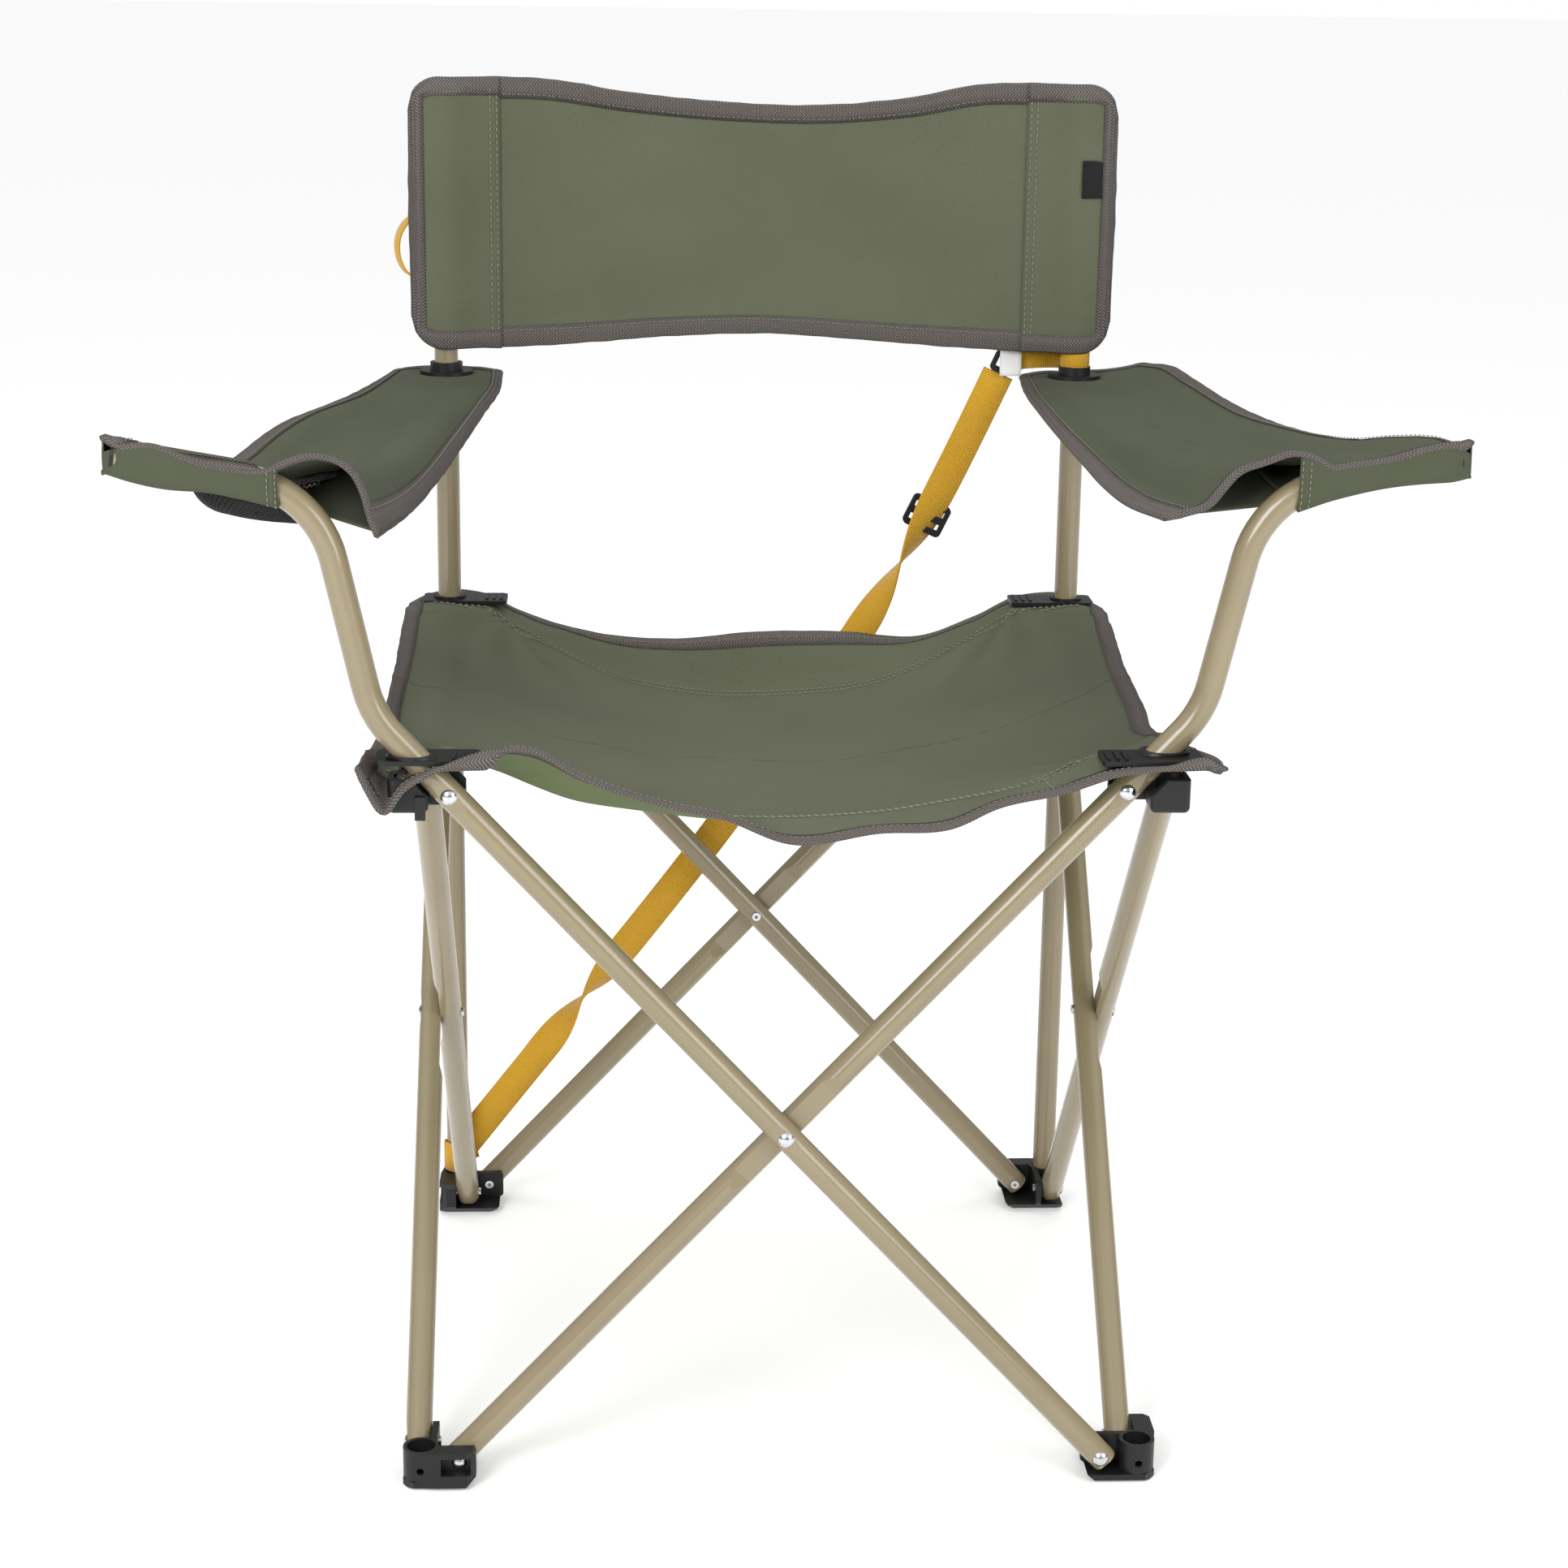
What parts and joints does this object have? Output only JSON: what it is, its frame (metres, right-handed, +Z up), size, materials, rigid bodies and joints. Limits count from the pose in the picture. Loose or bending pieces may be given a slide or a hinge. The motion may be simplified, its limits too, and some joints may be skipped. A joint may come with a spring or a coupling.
{
  "type": "folding camp chair",
  "caption": "Folding camp chair with a crossed tube frame, sling seat, backrest, two armrests and a net cup holder.",
  "frame": {"origin": "on the floor under the middle of the chair's bounding box", "axes": "+Z up, +Y towards the back, +X to the right as seen from the front"},
  "size_m": [0.7544, 0.476, 0.803],
  "materials": {
    "tube_paint": "khaki gloss powder coat on steel tube",
    "black_plastic": "moulded black nylon",
    "zinc": "zinc plated rivets",
    "seat_cloth": "olive woven polyester with a grey bound hem",
    "strap_webbing": "mustard ribbed webbing",
    "mesh_net": "black knitted net"
  },
  "bodies": {
    "foot_front_left_body": {"foot_front_left": "black_plastic", "foot_rivets_front_left": "zinc"},
    "leg_right_arm": {"front_leg_right_arm": "tube_paint", "arm_plug_right": "black_plastic", "seat_plate_front_right": "black_plastic"},
    "leg_left_arm": {"front_leg_left_arm": "tube_paint", "arm_plug_left": "black_plastic", "front_cross_rivet": "zinc", "seat_plate_front_left": "black_plastic"},
    "foot_front_right_body": {"foot_front_right": "black_plastic", "foot_rivets_front_right": "zinc"},
    "hub_front_left_body": {"hub_front_left": "black_plastic", "hub_rivets_front_left": "zinc"},
    "hub_front_right_body": {"hub_front_right": "black_plastic", "hub_rivets_front_right": "zinc"},
    "left_outer": {"left_leg_outer": "tube_paint", "left_cross_rivet": "zinc"},
    "left_inner": {"left_leg_inner": "tube_paint"},
    "post_left_body": {"foot_rear_left": "black_plastic", "foot_rivets_rear_left": "zinc", "post_left": "tube_paint", "post_cap_left": "black_plastic", "post_pin_left": "zinc", "back_sleeve_left": "seat_cloth", "arm_eyelet_left": "black_plastic", "back_panel": "seat_cloth", "carry_strap": "strap_webbing", "strap_loop_left": "strap_webbing", "store_loop": "strap_webbing"},
    "hub_rear_left_body": {"hub_rear_left": "black_plastic", "hub_rivets_rear_left": "zinc", "seat_plate_rear_left": "black_plastic"},
    "right_inner": {"right_leg_inner": "tube_paint"},
    "right_outer": {"right_leg_outer": "tube_paint", "right_cross_rivet": "zinc"},
    "post_right_body": {"foot_rear_right": "black_plastic", "foot_rivets_rear_right": "zinc", "post_right": "tube_paint", "post_cap_right": "black_plastic", "post_pin_right": "zinc", "back_sleeve_right": "seat_cloth", "arm_eyelet_right": "black_plastic", "strap_loop_right": "strap_webbing", "strap_ring": "black_plastic", "strap_slider": "black_plastic"},
    "hub_rear_right_body": {"hub_rear_right": "black_plastic", "hub_rivets_rear_right": "zinc", "seat_plate_rear_right": "black_plastic"},
    "rear_outer": {"rear_leg_outer": "tube_paint", "rear_cross_rivet": "zinc"},
    "rear_inner": {"rear_leg_inner": "tube_paint"},
    "seat_front": {"seat_front_half": "seat_cloth"},
    "seat_rear": {"seat_rear_half": "seat_cloth"},
    "armrest_left_body": {"armrest_left": "seat_cloth", "cup_mesh": "mesh_net"},
    "armrest_right_body": {"armrest_right": "seat_cloth"}
  },
  "joints": [
    {"name": "fold", "type": "hinge", "parent": "foot_front_left_body", "child": "leg_right_arm", "pos_m": [-0.193, -0.21, 0.015], "axis": [0, -1, 0], "range_deg": [0, 33]},
    {"name": "front_cross", "type": "hinge", "parent": "leg_right_arm", "child": "leg_left_arm", "pos_m": [0, -0.221, 0.2225], "axis": [0, 1, 0], "range_deg": [0, 66]},
    {"name": "front_right_foot_pivot", "type": "hinge", "parent": "leg_left_arm", "child": "foot_front_right_body", "pos_m": [0.193, -0.221, 0.015], "axis": [0, -1, 0], "range_deg": [0, 33]},
    {"name": "front_left_hub_pivot", "type": "hinge", "parent": "leg_left_arm", "child": "hub_front_left_body", "pos_m": [-0.193, -0.221, 0.43], "axis": [0, -1, 0], "range_deg": [0, 33]},
    {"name": "front_right_hub_pivot", "type": "hinge", "parent": "leg_right_arm", "child": "hub_front_right_body", "pos_m": [0.193, -0.21, 0.43], "axis": [0, 1, 0], "range_deg": [0, 33]},
    {"name": "left_front_foot_pivot", "type": "hinge", "parent": "foot_front_left_body", "child": "left_outer", "pos_m": [-0.219, -0.195, 0.015], "axis": [1, 0, 0], "range_deg": [0, 33]},
    {"name": "left_cross", "type": "hinge", "parent": "left_outer", "child": "left_inner", "pos_m": [-0.219, -0.002, 0.2225], "axis": [-1, 0, 0], "range_deg": [0, 66]},
    {"name": "left_rear_foot_pivot", "type": "hinge", "parent": "left_inner", "child": "post_left_body", "pos_m": [-0.208, 0.191, 0.015], "axis": [1, 0, 0], "range_deg": [0, 33], "deforming": ["back_panel", "carry_strap"]},
    {"name": "left_rear_hub_pivot", "type": "hinge", "parent": "left_outer", "child": "hub_rear_left_body", "pos_m": [-0.219, 0.191, 0.43], "axis": [-1, 0, 0], "range_deg": [0, 33]},
    {"name": "right_front_foot_pivot", "type": "hinge", "parent": "foot_front_right_body", "child": "right_inner", "pos_m": [0.208, -0.195, 0.015], "axis": [1, 0, 0], "range_deg": [0, 33]},
    {"name": "right_cross", "type": "hinge", "parent": "right_inner", "child": "right_outer", "pos_m": [0.208, -0.002, 0.2225], "axis": [-1, 0, 0], "range_deg": [0, 66]},
    {"name": "right_rear_foot_pivot", "type": "hinge", "parent": "right_outer", "child": "post_right_body", "pos_m": [0.219, 0.191, 0.015], "axis": [1, 0, 0], "range_deg": [0, 33]},
    {"name": "right_rear_hub_pivot", "type": "hinge", "parent": "right_inner", "child": "hub_rear_right_body", "pos_m": [0.208, 0.191, 0.43], "axis": [-1, 0, 0], "range_deg": [0, 33]},
    {"name": "rear_left_foot_pivot", "type": "hinge", "parent": "post_left_body", "child": "rear_outer", "pos_m": [-0.193, 0.217, 0.015], "axis": [0, -1, 0], "range_deg": [0, 33]},
    {"name": "rear_cross", "type": "hinge", "parent": "rear_outer", "child": "rear_inner", "pos_m": [0, 0.217, 0.2225], "axis": [0, 1, 0], "range_deg": [0, 66]},
    {"name": "seat_front_sling", "type": "hinge", "parent": "hub_front_left_body", "child": "seat_front", "pos_m": [0, -0.218, 0.448], "axis": [-1, 0, 0], "range_deg": [0, 57.42], "deforming": ["seat_front_half"]},
    {"name": "seat_rear_sling", "type": "hinge", "parent": "hub_rear_left_body", "child": "seat_rear", "pos_m": [0, 0.214, 0.448], "axis": [1, 0, 0], "range_deg": [0, 57.42], "deforming": ["seat_rear_half"]},
    {"name": "armrest_left_swing", "type": "hinge", "parent": "leg_left_arm", "child": "armrest_left_body", "pos_m": [-0.371, -0.221, 0.6212], "axis": [-0.9862, 0, 0.1656], "range_deg": [0, 47.85], "deforming": ["armrest_left", "cup_mesh"]},
    {"name": "armrest_right_swing", "type": "hinge", "parent": "leg_right_arm", "child": "armrest_right_body", "pos_m": [0.371, -0.21, 0.6212], "axis": [-0.9862, 0, -0.1656], "range_deg": [0, 47.85], "deforming": ["armrest_right"]}
  ],
  "couplings": [
    {"joint": "front_cross", "follows": "fold", "ratio": 2},
    {"joint": "front_right_foot_pivot", "follows": "fold", "ratio": 1},
    {"joint": "front_left_hub_pivot", "follows": "fold", "ratio": 1},
    {"joint": "front_right_hub_pivot", "follows": "fold", "ratio": 1},
    {"joint": "left_front_foot_pivot", "follows": "fold", "ratio": 1},
    {"joint": "left_cross", "follows": "fold", "ratio": 2},
    {"joint": "left_rear_foot_pivot", "follows": "fold", "ratio": 1},
    {"joint": "left_rear_hub_pivot", "follows": "fold", "ratio": 1},
    {"joint": "right_front_foot_pivot", "follows": "fold", "ratio": 1},
    {"joint": "right_cross", "follows": "fold", "ratio": 2},
    {"joint": "right_rear_foot_pivot", "follows": "fold", "ratio": 1},
    {"joint": "right_rear_hub_pivot", "follows": "fold", "ratio": 1},
    {"joint": "rear_left_foot_pivot", "follows": "fold", "ratio": 1},
    {"joint": "rear_cross", "follows": "fold", "ratio": 2},
    {"joint": "seat_front_sling", "follows": "fold", "ratio": 1.74},
    {"joint": "seat_rear_sling", "follows": "fold", "ratio": 1.74},
    {"joint": "armrest_left_swing", "follows": "fold", "ratio": 1.45},
    {"joint": "armrest_right_swing", "follows": "fold", "ratio": 1.45}
  ]
}
